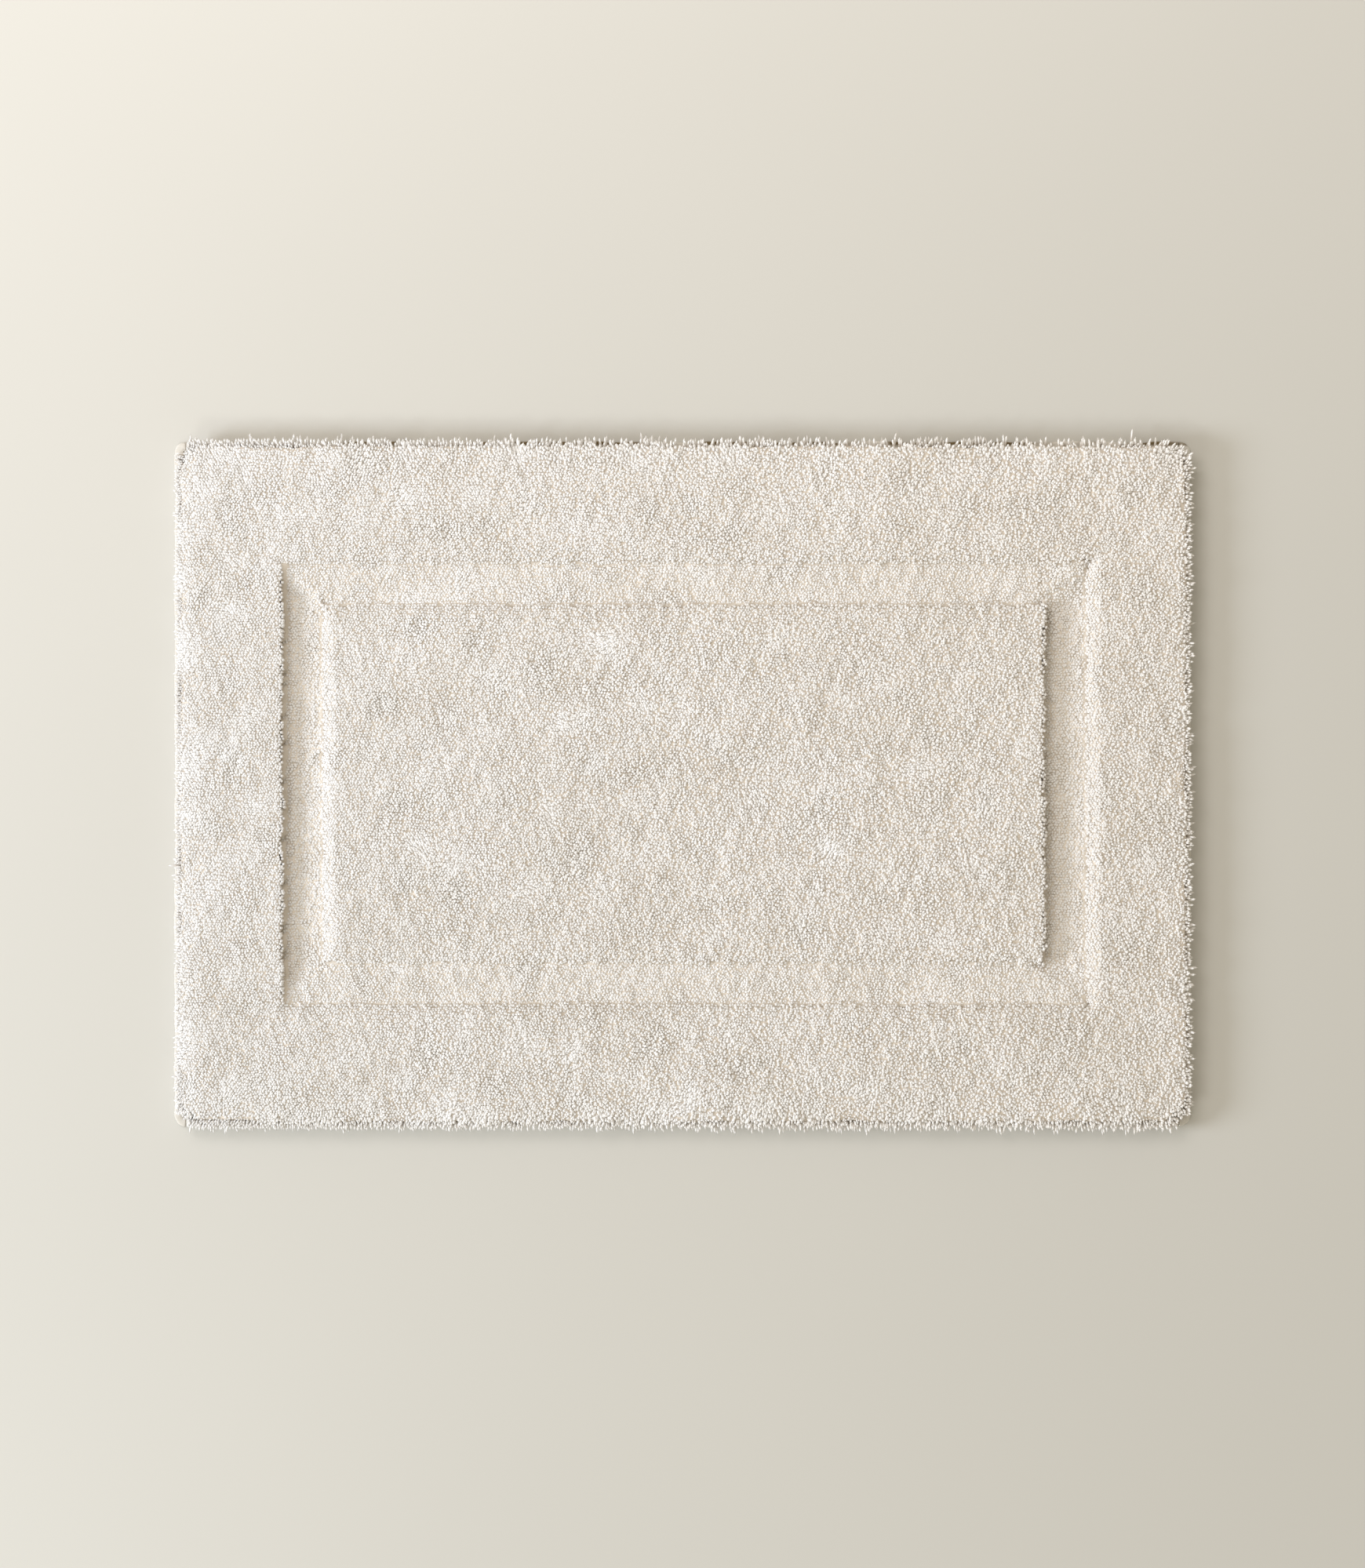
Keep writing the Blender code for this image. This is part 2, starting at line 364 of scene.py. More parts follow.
def splay(points):
    """Outward lean near the mat's edge, stronger along the front and back than along the sides."""
    margin = (np.array((TIP_X, TIP_Y)) - np.abs(points)).clip(0, None)
    reach = np.exp(-margin / SPLAY_REACH)
    calm = 1 - 0.8 * np.exp(-np.hypot(margin[:, 0], margin[:, 1]) / CALM_CORNER)
    return np.sign(points) * reach * calm[:, None] * SPLAY_LEAN, reach.max(axis=1)


def facing(way):
    """How squarely each tuft's channel lies to its right, to its left and towards an end.

    These are the squares of the parts of way, the direction to the channel.
    """
    right = way[:, 0].clip(0, 1) ** 2
    left = (-way[:, 0]).clip(0, 1) ** 2
    return np.stack([right, left, way[:, 1] ** 2], axis=1)


def shoulder(gap, way):
    """How far the pile sinks beside the channel.

    It is drop * (1 - gap / width)^power, summed over the facings.
    """
    width, drop, power = np.array((SHADED_SHOULDER, LIT_SHOULDER, END_SHOULDER)).T
    sink = drop * (1 - gap[:, None] / width).clip(0, 1) ** power
    return (facing(way) * sink).sum(axis=1)


def left_roll(points):
    """How far the pile sinks towards the mat's left edge: drop * (1 - distance / width)^power."""
    width, drop, power = LEFT_ROLL
    return drop * (1 - (points[:, 0] + TIP_X) / width).clip(0, 1) ** power


def lay_pile(points, loose=1.0):
    """The root, lean and height of the tuft whose tip lies over each point; loose scales chance.

    Lean adds clumps, swirls, the splay at the rim, the lean over the channel and chance. Swirls die
    out at the rim and beside the channel, so those edges run straight. The root is the point less
    the lean without its chance, kept on the cloth, so the tips stay evenly close. Height is the
    zone's, less the shoulder beside the channel, and less what the lean takes off.
    """
    rng = np.random.default_rng(SEED + 1)
    field, channel, border = zone_masks(points)
    gap, way = to_channel(points, field, border)
    _, clump = rolling_noise(points, 0.006, 0.014, SEED + 2)
    swirl_x, _ = rolling_noise(points, 0.025, 0.090, SEED + 3)
    swirl_y, _ = rolling_noise(points, 0.025, 0.090, SEED + 4)
    rough = combed(points) * (1 - LIT_SMOOTH * facing(way)[:, 1] * np.exp(-gap / LIT_SHOULDER[0]))
    outward, rim = splay(points)
    pile = np.where(channel, channel_height(points), HIGH_PILE)
    share = (pile / HIGH_PILE)[:, None]
    margin = (np.array((TIP_X, TIP_Y)) - np.abs(points)).min(axis=1)
    calm = 1 - 0.9 * np.exp(-np.minimum(margin.clip(0, None), gap) / CALM_REACH)
    swirl = calm[:, None] * SWIRL_LEAN * np.stack([swirl_x, swirl_y], axis=1)
    lean = (CLUMP_LEAN * rough[:, None] * clump + swirl) * share + outward
    lean = lean + way * (facing(way) @ CHANNEL_LEAN * np.exp(-gap / CHANNEL_REACH))[:, None]
    roots = (points - lean).clip((-ROOT_X, -ROOT_Y), (ROOT_X, ROOT_Y))
    lean = points - roots
    chance = loose * rough[:, None] * rng.standard_normal(points.shape)
    lean = lean + chance * (LOOSE_LEAN * share + RIM_LOOSE * rim[:, None] ** 2)
    roll, _ = rolling_noise(points, 0.007, 0.030, SEED + 6)
    swell, _ = rolling_noise(points, 0.060, 0.200, SEED + 7)
    length = pile + HEIGHT_ROLL * (roll + 0.7 * swell)
    low_spread = np.interp(down_the_side(points), (0, 1), LOW_SPREAD[::-1])
    spread = np.where(channel, low_spread, HEIGHT_SPREAD * rough)
    length = length + spread * loose * rng.standard_normal(len(points))
    length = length - shoulder(gap, way) - left_roll(points)
    size = np.hypot(lean[:, 0], lean[:, 1])
    rise = np.sqrt((length ** 2 - 0.6 * size ** 2).clip((0.3 * length) ** 2, None))
    return roots, lean, rise


# ---- Tufts as spindles ----

def tuft_template(rings, sides):
    """Faces of one tuft: rings of points between a point at the root and a point at the tip.

    The points come ring by ring, then the root, then the tip.
    """
    root, tip = rings * sides, rings * sides + 1
    side = np.arange(sides)
    following = (side + 1) % sides
    faces = [np.stack([following, side, np.full(sides, root)], axis=1)]
    for ring in range(rings - 1):
        a, b = ring * sides + side, ring * sides + following
        faces.append(np.stack([a, b, b + sides], axis=1))
        faces.append(np.stack([a, b + sides, a + sides], axis=1))
    last = (rings - 1) * sides
    faces.append(np.stack([last + side, last + following, np.full(sides, tip)], axis=1))
    return np.concatenate(faces)


def tufts(name, points, lean, rise, tone, shape, material):
    """Yarns that leave the cloth upright, bend over towards their lean and taper at both ends.

    At the fraction t of its length a yarn has gone lean * t^1.7 sideways and rise * ((1 - b) t +
    b sin(pi t / 2)) up, where the bend b is the lean's share of the rise. Each ring of points lies
    across the yarn. The last ring stands tip_length short of the tip.
    """
    shares, widths, sides, tip_length = shape
    rng = np.random.default_rng(len(points))
    size = np.hypot(lean[:, 0], lean[:, 1])
    spin = rng.uniform(0, math.tau, len(points))
    heading = np.where(size > 1e-6, np.arctan2(lean[:, 1], lean[:, 0]), spin)[:, None]
    bend = (size / np.maximum(rise, 1e-6)).clip(0, 1)[:, None]
    length = np.hypot(size, rise)
    top = 1 - (tip_length / length).clip(0, 0.6)
    ends = np.broadcast_to((0.0, 1.0), (len(points), 2))
    t = np.concatenate([top[:, None] * np.asarray(shares), ends], axis=1)
    out = size[:, None] * t ** 1.7
    up = rise[:, None] * ((1 - bend) * t + bend * np.sin(math.pi / 2 * t))
    slope_out = size[:, None] * 1.7 * t ** 0.7
    slope_up = rise[:, None] * ((1 - bend) + bend * math.pi / 2 * np.cos(math.pi / 2 * t))
    steep = np.arctan2(slope_up, slope_out)
    centre = np.stack([
        points[:, 0:1] + out * np.cos(heading),
        points[:, 1:2] + out * np.sin(heading),
        CLOTH_TOP - ROOT_SINK + up,
    ], axis=-1)
    across = np.stack([
        np.sin(steep) * np.cos(heading), np.sin(steep) * np.sin(heading), -np.cos(steep)
    ], axis=-1)
    sideways = np.stack([-np.sin(heading), np.cos(heading), np.zeros_like(heading)], axis=-1)
    around = spin[:, None] + np.arange(sides) * math.tau / sides
    plump = rng.uniform(0.85, 1.15, len(points))[:, None, None, None] * YARN_RADIUS
    radius = plump * np.asarray(widths)[None, :, None, None]
    cross = (
        np.cos(around)[:, None, :, None] * across[:, :-2, None, :]
        + np.sin(around)[:, None, :, None] * sideways[:, :, None, :]
    )
    rings = (centre[:, :-2, None, :] + radius * cross).reshape(len(points), -1, 3)
    all_points = np.concatenate([rings, centre[:, -2:, :]], axis=1)
    count = all_points.shape[1]
    faces = tuft_template(len(shares), sides)
    all_faces = (np.arange(len(points))[:, None, None] * count + faces[None]).reshape(-1, 3)
    along = np.concatenate([np.repeat(t[:, :-2], sides, axis=1), t[:, -2:]], axis=1)
    turn = np.append(np.tile(np.arange(sides) / sides, len(shares)), (0.5, 0.5))
    uv = np.stack([np.broadcast_to(turn, along.shape), along], axis=-1).reshape(-1, 2)[all_faces.ravel()]
    values = {"tone": np.repeat(tone, count)}
    return mesh_piece(name, all_points.reshape(-1, 3), [all_faces], material, True, uv, values)


def closed_sheet(name, upper, lower, material, loop_uv=None, point_values=None):
    """A closed body between two grids of points of the same shape, joined by a wall round the edge."""
    n, m = upper.shape[:2]
    index = np.arange(n * m).reshape(n, m)
    over = np.stack([index[:-1, :-1], index[1:, :-1], index[1:, 1:], index[:-1, 1:]], axis=-1)
    over = over.reshape(-1, 4)
    under = over[:, ::-1] + n * m
    edge = np.concatenate([index[:, 0], index[-1, 1:], index[-2::-1, -1], index[0, -2:0:-1]])
    following = np.roll(edge, -1)
    wall = np.stack([edge + n * m, following + n * m, following, edge], axis=1)
    faces = np.concatenate([over, under, wall])
    points = np.concatenate([upper.reshape(-1, 3), lower.reshape(-1, 3)])
    uv = None if loop_uv is None else np.asarray(loop_uv)[faces.ravel()]
    return mesh_piece(name, points, [faces], material, True, uv, point_values)


def off_corners(points):
    """Points near the mat's corners, moved in along the diagonal to stay behind the yarns there."""
    margin = np.array((ROOT_X, ROOT_Y)) - np.abs(points)
    short = (CORNER_CUT + 3 * NAP_INSET - margin.sum(axis=1)).clip(0, None) / 2
    return points - np.sign(points) * short[:, None]


def nap_body(name, x_range, y_range, depth, material):
    """The felt of loose fibre between the yarns, at a depth below where the tips of tufts would be.

    Each point of the grid is where the tuft with its tip there would be at that depth, at the
    fraction t of its length: lean * t^1.7 sideways from its root and rise * t up. The channel's
    nap climbs by at most FOOT_RISE where it runs on under its walls.
    """
    count_x = max(4, round((x_range[1] - x_range[0]) / NAP_PITCH) + 1)
    count_y = max(4, round((y_range[1] - y_range[0]) / NAP_PITCH) + 1)
    x, y = np.meshgrid(np.linspace(*x_range, count_x), np.linspace(*y_range, count_y), indexing="ij")
    points = np.stack([x.ravel(), y.ravel()], axis=1)
    roots, lean, rise = lay_pile(points, 0.0)
    if "channel" in name:
        rise = np.minimum(rise, channel_height(points) + FOOT_RISE)
    edge = np.array((ROOT_X, ROOT_Y)) - NAP_INSET
    roots = roots.clip(-edge, edge)
    t = (1 - depth / rise)[:, None]
    over = off_corners(roots + lean * t ** 1.7)
    roots = off_corners(roots)
    top = np.concatenate([over, CLOTH_TOP + rise[:, None] * t], axis=1)
    foot = np.concatenate([roots, np.full((len(roots), 1), CLOTH_TOP + 0.0001)], axis=1)
    shape = (count_x, count_y, 3)
    place = np.concatenate([roots * 40, roots * 40])
    # Painted shade: along is fixed at 0.45, so the nap takes mostly the yarns' painted root shade.
    place[:, 1] = 0.45
    values = {"tone": np.full(2 * len(roots), 0.5)}
    return closed_sheet(name, top.reshape(shape), foot.reshape(shape), material, place, values)


def make_nap(material):
    """The nap of each zone. The channel's runs on a little under the others."""
    in_x, in_y = FIELD_X - NAP_BACK[0], FIELD_Y - NAP_BACK[1]
    low_x, low_y = FIELD_X - NAP_UNDER, FIELD_Y - NAP_UNDER
    high_x, high_y = BORDER_X + NAP_UNDER, BORDER_Y + NAP_UNDER
    out_x, out_y = BORDER_X + NAP_BACK[0], BORDER_Y + NAP_BACK[1]
    end_x, end_y = TIP_X - NAP_SHORT[0], TIP_Y - NAP_SHORT[1]
    runs = {
        "field_nap": ((-in_x, in_x), (-in_y, in_y), "field_pile"),
        "channel_nap_left": ((-high_x, -low_x), (-high_y, high_y), "channel_pile_left"),
        "channel_nap_right": ((low_x, high_x), (-high_y, high_y), "channel_pile_right"),
        "channel_nap_front": ((-low_x, low_x), (-high_y, -low_y), "channel_pile_front"),
        "channel_nap_back": ((-low_x, low_x), (low_y, high_y), "channel_pile_back"),
        "border_nap_left": ((-end_x, OVERHANG - out_x), (-end_y, end_y), "border_pile_left"),
        "border_nap_right": ((out_x, end_x), (-end_y, end_y), "border_pile_right"),
        "border_nap_front": ((-out_x, out_x), (-end_y, -out_y), "border_pile_front"),
        "border_nap_back": ((-out_x, out_x), (out_y, end_y), "border_pile_back"),
    }
    pieces = []
    for name, (across, along, node) in runs.items():
        depth = LOW_NAP_DEPTH if "channel" in name else NAP_DEPTH
        pieces.append(stand_in(nap_body(name, across, along, depth, material), "pile", node))
    return pieces


def at_rim(points):
    return (np.array((ROOT_X, ROOT_Y)) - np.abs(points) < RIM_ROWS).any(axis=1)


def rim_rows(points, lean, rise, rng):
    """Two more rows of yarns at the rim: shorter ones under the first, and sparse strays."""
    rim = at_rim(points)
    place, tip, top = points[rim], lean[rim], rise[rim]
    count = len(place)
    under = place + rng.uniform(-UNDER_SHIFT, UNDER_SHIFT, (count, 2))
    under_tip = tip * rng.uniform(*UNDER_LEAN, (count, 1))
    under_top = top * rng.uniform(*UNDER_RISE, count)
    stray = rng.uniform(0, 1, count) < STRAY_SHARE * combed(place)
    outward = np.sign(place) * (np.array((ROOT_X, ROOT_Y)) - np.abs(place) < RIM_ROWS)
    stray_tip = outward * rng.uniform(*np.transpose(STRAY_LEAN), (count, 2))
    stray_tip = stray_tip + rng.normal(0, STRAY_TWIST, (count, 2))
    stray_top = rng.uniform(*STRAY_RISE, count)
    return (
        np.concatenate([points, under, under[stray]]),
        np.concatenate([lean, under_tip, stray_tip[stray]]),
        np.concatenate([rise, under_top, stray_top[stray]]),
    )


def thinned(tips, rng):
    """Chance gaps in the back edge's last rows, which leave separate strands there."""
    width, share = SPARSE_BACK
    return (tips[:, 1] > HALF_Y - width) & (rng.uniform(0, 1, len(tips)) < share * combed(tips))


def beside(points, inner, outer):
    """Which points of the ring between two rectangles lie beside the inner one, not past its ends."""
    span = (np.abs(points) - inner) / np.subtract(outer, inner)
    return span[:, 0] > span[:, 1]


def make_pile(material):
    """All the tufts, with fuller yarns on the channel's walls and rounder ones along the rim."""
    rng = np.random.default_rng(SEED + 9)
    points, lean, rise = lay_pile(tuft_tips())
    inside = clear_of_corners(points) & ~thinned(points + lean, rng)
    points, lean, rise = rim_rows(points[inside], lean[inside], rise[inside], rng)
    tone = 1 - DULL_TUFTS * combed(points) * rng.uniform(0, 1, len(points)) ** 4
    over = points + lean
    field, channel, border = zone_masks(over)
    border_side = beside(over, (BORDER_X, BORDER_Y), (HALF_X, HALF_Y))
    channel_side = beside(over, (FIELD_X, FIELD_Y), (BORDER_X, BORDER_Y))
    right = points[:, 0] > 0
    back = points[:, 1] > 0
    runs = {
        "border_pile_left": (border & border_side & ~right, "border_pile_left"),
        "border_pile_right": (border & border_side & right, "border_pile_right"),
        "channel_pile_left": (channel & channel_side & ~right, "channel_pile_left"),
        "channel_pile_right": (channel & channel_side & right, "channel_pile_right"),
        "channel_pile_front": (channel & ~channel_side & ~back, "channel_pile_front"),
        "channel_pile_back": (channel & ~channel_side & back, "channel_pile_back"),
    }
    for end, end_mask in (("front", ~back), ("back", back)):
        for half, half_mask in (("left", ~right), ("right", right)):
            mask = border & ~border_side & end_mask & half_mask
            runs[f"border_pile_{end}_{half}"] = (mask, f"border_pile_{end}")
            runs[f"field_pile_{end}_{half}"] = (field & end_mask & half_mask, "field_pile")
    rim = at_rim(points)
    gap, _ = to_channel(over, field, border)
    wall = ~rim & (gap < WALL_ROWS)
    kinds = (("", PLAIN_TUFT, ~rim & ~wall), ("_wall", WALL_TUFT, wall), ("_rim", RIM_TUFT, rim))
    pieces = make_nap(material)
    for name, (mask, node) in runs.items():
        for ending, shape, kind in kinds:
            chosen = mask & kind
            if chosen.any():
                yarns = (values[chosen] for values in (points, lean, rise, tone))
                piece = tufts(name + ending, *yarns, shape, material)
                pieces.append(stand_in(piece, "pile", node))
    return pieces


# ---- Cloth, latex, hem and stitches ----

def rounded_outline(inset, corner, corner_steps=8, side_steps=24):
    """Points round the mat's outline, moved inwards by inset, with round corners."""
    half = np.array((HALF_X, HALF_Y)) - inset - corner
    turn = np.linspace(0, math.pi / 2, corner_steps + 1)
    run = np.linspace(-1, 1, side_steps + 1)[1:-1]
    parts = []
    for quarter, (sx, sy) in enumerate(((1, 1), (-1, 1), (-1, -1), (1, -1))):
        angle = turn + quarter * math.pi / 2
        arc = (sx * half[0] + corner * np.cos(angle), sy * half[1] + corner * np.sin(angle))
        if quarter % 2 == 0:
            side = (-sx * run * half[0], np.full_like(run, sy * (half[1] + corner)))
        else:
            side = (np.full_like(run, sx * (half[0] + corner)), -sy * run * half[1])
        parts += [np.stack(arc, axis=1), np.stack(side, axis=1)]
    return np.concatenate(parts)


def closed_rings(rings):
    """Faces between rings of equally many points, with a fan to the two points that follow them."""
    count = len(rings[0])
    points = np.concatenate([*rings, [rings[0].mean(axis=0)], [rings[-1].mean(axis=0)]])
    i = np.arange(count)
    j = (i + 1) % count
    quads = [np.stack([r * count + i, r * count + j, (r + 1) * count + j, (r + 1) * count + i], axis=1)
             for r in range(len(rings) - 1)]
    first, last = len(points) - 2, len(points) - 1
    top = (len(rings) - 1) * count
    fans = np.concatenate([
        np.stack([j, i, np.full(count, first)], axis=1),
        np.stack([top + i, top + j, np.full(count, last)], axis=1),
    ])
    return points, [np.concatenate(quads), fans]


def slab(name, inset, corner, bottom, top, material):
    """A thin sheet with round corners: rings of the outline shrink to the middle, above and below."""
    shares = (0.15, 0.4, 0.7, 0.9)
    outline = rounded_outline(inset, corner)
    soft = 0.2 * (top - bottom)
    rim = rounded_outline(inset + soft, corner - soft)

    def ring(shape, z):
        return np.column_stack([shape, np.full(len(shape), z)])

    rings = [ring(rim * s, bottom) for s in shares] + [ring(rim, bottom), ring(outline, bottom + soft)]
    rings += [ring(outline, top - soft), ring(rim, top)] + [ring(rim * s, top) for s in shares[::-1]]
    points, faces = closed_rings(rings)
    return mesh_piece(name, points, faces, material)


def latex_sheet(material):
    """The latex film, with a low ridge under it for each row of back stitches, a cosine across."""
    name = "latex_coat"
    box_low, box_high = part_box(name)
    rows = int((box_high[1] - box_low[1]) / BACK_STITCH_PITCH)
    across = np.linspace(box_low[1], box_high[1], rows * 6 + 1)
    along = np.linspace(box_low[0], box_high[0], 9)
    x, y = np.meshgrid(along, across, indexing="ij")
    ridge = BACK_STITCH_DEPTH * (0.5 - 0.5 * np.cos(math.tau * (y - box_low[1]) / BACK_STITCH_PITCH))
    under = np.stack([x, y, box_low[2] + ridge], axis=-1)
    over = np.stack([x, y, np.full_like(x, box_high[2])], axis=-1)
    piece = closed_sheet(name, over, under, material)
    return stand_in(piece, "latex", name)


def hem_section():
    """The folded tape's section, as (distance in from the edge, height), and the run round it."""
    fold = HEM_TOP / 2
    tape = TAPE_THICKNESS
    turn = np.linspace(-math.pi / 2, -3 * math.pi / 2, 9)
    outside = np.stack([fold + fold * np.cos(turn), fold + fold * np.sin(turn)], axis=1)
    lip = [(HEM_LIP * 0.6, HEM_TOP + 0.0001), (HEM_LIP - 0.0002, HEM_TOP), (HEM_LIP, HEM_TOP - tape / 2)]
    under_lip = [(HEM_LIP - 0.0001, HEM_TOP - tape)]
    slot = fold - tape
    inside = np.stack([fold + slot * np.cos(turn[::-2]), fold + slot * np.sin(turn[::-2])], axis=1)
    lower = [(HEM_LIP - 0.0001, tape), (HEM_LIP, tape / 2), (HEM_LIP - 0.0002, 0.0)]
    section = np.concatenate([outside, lip, under_lip, inside, lower])
    step = np.hypot(*np.diff(np.vstack([section, section[:1]]), axis=0).T)
    return section, np.concatenate([[0], np.cumsum(step)])


def path_points(corners_turned, sign):
    """The mat's edge under one hem strip: points, inward directions and distance run.

    A side strip runs along its side and round both corners. A front or back strip is straight and
    ends where the side strips do.
    """
    if corners_turned:
        turn = np.linspace(-math.pi / 2, 0, 10)
        straight = np.arange(-(HALF_Y - HEM_CORNER) + HEM_STEP, HALF_Y - HEM_CORNER, HEM_STEP)
        centre = HALF_X - HEM_CORNER
        radius = HEM_CORNER
        first = (centre + radius * np.cos(turn), -(HALF_Y - radius) + radius * np.sin(turn))
        first = np.stack(first, axis=1)
        side = np.stack([np.full_like(straight, HALF_X), straight], axis=1)
        last = first[::-1] * (1, -1)
        points = np.concatenate([first, side, last])
        inward = np.concatenate([
            -np.stack([np.cos(turn), np.sin(turn)], axis=1),
            np.tile((-1.0, 0.0), (len(side), 1)),
            -np.stack([np.cos(turn[::-1]), -np.sin(turn[::-1])], axis=1),
        ])
        points = points * (sign, 1)
        inward = inward * (sign, 1)
    else:
        reach = high("hem_front", X)
        straight = np.linspace(-reach, reach, int(2 * reach / HEM_STEP))
        points = np.stack([straight, np.full_like(straight, sign * HALF_Y)], axis=1)
        inward = np.tile((0.0, -float(sign)), (len(points), 1))
    run = np.concatenate([[0], np.cumsum(np.hypot(*np.diff(points, axis=0).T))])
    return points, inward, run


def hem_strip(name, corners_turned, sign, material):
    """The folded section carried along the mat's edge, wavering slightly and pinched by each stitch."""
    points, inward, run = path_points(corners_turned, sign)
    section, girth = hem_section()
    waver, _ = rolling_noise(points, 0.010, 0.060, SEED + 20)
    lift, _ = rolling_noise(points, 0.008, 0.030, SEED + 21)
    pinch = 0.5 + 0.5 * np.cos(math.tau * run / STITCH_PITCH)
    upper = (section[:, 1] / HEM_TOP).clip(0, 1)
    outer = (1 - section[:, 0] / HEM_LIP).clip(0, 1)
    depth = section[None, :, 0] + HEM_WAVER * waver[:, None] * outer[None]
    raised = (HEM_LIFT * lift - STITCH_PINCH * pinch)[:, None]
    height = (section[None, :, 1] + upper[None] ** 4 * raised).clip(0, None)
    flat = points[:, None, :] + inward[:, None, :] * depth[..., None]
    rings = np.concatenate([flat, height[..., None]], axis=-1)
    count = section.shape[0]
    n = len(rings)
    i = np.arange(count)
    j = (i + 1) % count
    r = np.arange(n - 1)[:, None] * count
    flip = sign > 0 if corners_turned else sign < 0
    quads = np.stack([r + i, r + j, r + count + j, r + count + i], axis=-1).reshape(-1, 4)
    u = np.stack([girth[i], girth[i + 1], girth[i + 1], girth[i]], axis=-1)
    v = np.stack([run[:-1], run[:-1], run[1:], run[1:]], axis=-1)
    uv = np.stack(np.broadcast_arrays(u[None, :, :], v[:, None, :]), axis=-1).reshape(-1, 4, 2)
    centre = rings.mean(axis=1)
    all_points = np.concatenate([rings.reshape(-1, 3), centre[:1], centre[-1:]])
    ends = np.concatenate([
        np.stack([j, i, np.full(count, n * count)], axis=1),
        np.stack([(n - 1) * count + i, (n - 1) * count + j, np.full(count, n * count + 1)], axis=1),
    ])
    end_uv = np.tile(((0.0, 0.0), (0.001, 0.0), (0.0, 0.001)), (len(ends), 1, 1))
    if flip:
        quads = quads[:, ::-1]
        uv = uv[:, ::-1]
        ends = ends[:, ::-1]
        end_uv = end_uv[:, ::-1]
    loop_uv = np.concatenate([uv.reshape(-1, 2), end_uv.reshape(-1, 2)])
    piece = mesh_piece(name, all_points, [quads, ends], material, True, loop_uv)
    return stand_in(piece, "hem_tape", name)


def hem_stitches(name, corners_turned, sign, material):
    """A row of short stitches on the hem's upper lip: each is a thread that dives at both ends.

    Along a stitch, with t from -1 to 1, the thread's height is a quarter period of a cosine of t
    and its radius shrinks a little towards the ends.
    """
    points, inward, run = path_points(corners_turned, sign)
    keep = np.arange(STITCH_PITCH, run[-1] - STITCH_PITCH, STITCH_PITCH)
    if corners_turned:
        bend = HEM_CORNER * math.pi / 2
        keep = keep[(keep > bend) & (keep < run[-1] - bend)]
    place = np.stack([np.interp(keep, run, points[:, axis]) for axis in (0, 1)], axis=1)
    way_in = np.stack([np.interp(keep, run, inward[:, axis]) for axis in (0, 1)], axis=1)
    place = place + way_in * SEAM_INSET
    along = np.stack([-way_in[:, 1], way_in[:, 0]], axis=1)
    steps, sides = np.linspace(-1, 1, 5), 5
    angle = np.arange(sides) * math.tau / sides
    rise = HEM_TOP + STITCH_RISE * np.cos(steps * math.pi / 2) - STITCH_SINK
    radius = STITCH_RADIUS * (1 - 0.25 * steps ** 2)
    reach = (steps * STITCH_LENGTH / 2)[None, :, None, None]
    base = place[:, None, None, :] + along[:, None, None, :] * reach
    sideways = way_in[:, None, None, :] * (radius[:, None] * np.cos(angle))[None, :, :, None]
    flat = base + sideways
    z = np.broadcast_to((rise[:, None] + radius[:, None] * np.sin(angle))[None], flat.shape[:3])
    rings = np.concatenate([flat, z[..., None]], axis=-1)
    count = len(steps) * sides
    i = np.arange(sides)
    j = (i + 1) % sides
    r = np.arange(len(steps) - 1)[:, None] * sides
    tube = np.stack([r + i, r + j, r + sides + j, r + sides + i], axis=-1).reshape(-1, 4)
    caps = np.array([np.arange(sides)[::-1], (len(steps) - 1) * sides + np.arange(sides)])
    start = np.arange(len(place))[:, None, None] * count
    faces = [(start + tube[None]).reshape(-1, 4), (start + caps[None]).reshape(-1, sides)]
    piece = mesh_piece(name, rings.reshape(-1, 3), faces, material)
    return stand_in(piece, "thread", name)


def make_hem(tape, thread):
    pieces = []
    sides = (("left", True, -1), ("right", True, 1), ("front", False, -1), ("back", False, 1))
    for side, corners_turned, sign in sides:
        pieces.append(hem_strip(f"hem_{side}", corners_turned, sign, tape))
        pieces.append(hem_stitches(f"hem_seam_{side}", corners_turned, sign, thread))
    return pieces


# ---- Materials ----

def principled(name, colour, roughness, sheen=0.0, sheen_roughness=0.5, specular=0.3):
    """A new material with a Principled shader, whose plain values sit on its own sockets."""
    material = bpy.data.materials.new(name)
    material.use_nodes = True
    shader = material.node_tree.nodes["Principled BSDF"]
    shader.inputs["Base Color"].default_value = (*colour, 1.0)
    shader.inputs["Roughness"].default_value = roughness
    shader.inputs["Specular IOR Level"].default_value = specular
    shader.inputs["Sheen Weight"].default_value = sheen
    shader.inputs["Sheen Roughness"].default_value = sheen_roughness
    return material, shader


def node(tree, kind, place, **settings):
    """A node of this kind at a place in the editor, with settings for its properties."""
    made = tree.nodes.new(kind)
    made.location = place
    for key, value in settings.items():
        setattr(made, key, value)
    return made


def new_group(name, inputs, outputs):
    """A shader node group with named sockets: (name, kind, default) inputs and (name, kind) outputs."""
    group = bpy.data.node_groups.new(name, "ShaderNodeTree")
    for label, kind, default in inputs:
        socket = group.interface.new_socket(label, in_out="INPUT", socket_type=kind)
        if default is not None:
            socket.default_value = default
    for label, kind in outputs:
        group.interface.new_socket(label, in_out="OUTPUT", socket_type=kind)
    return group, node(group, "NodeGroupInput", (-900, 0)), node(group, "NodeGroupOutput", (700, 0))


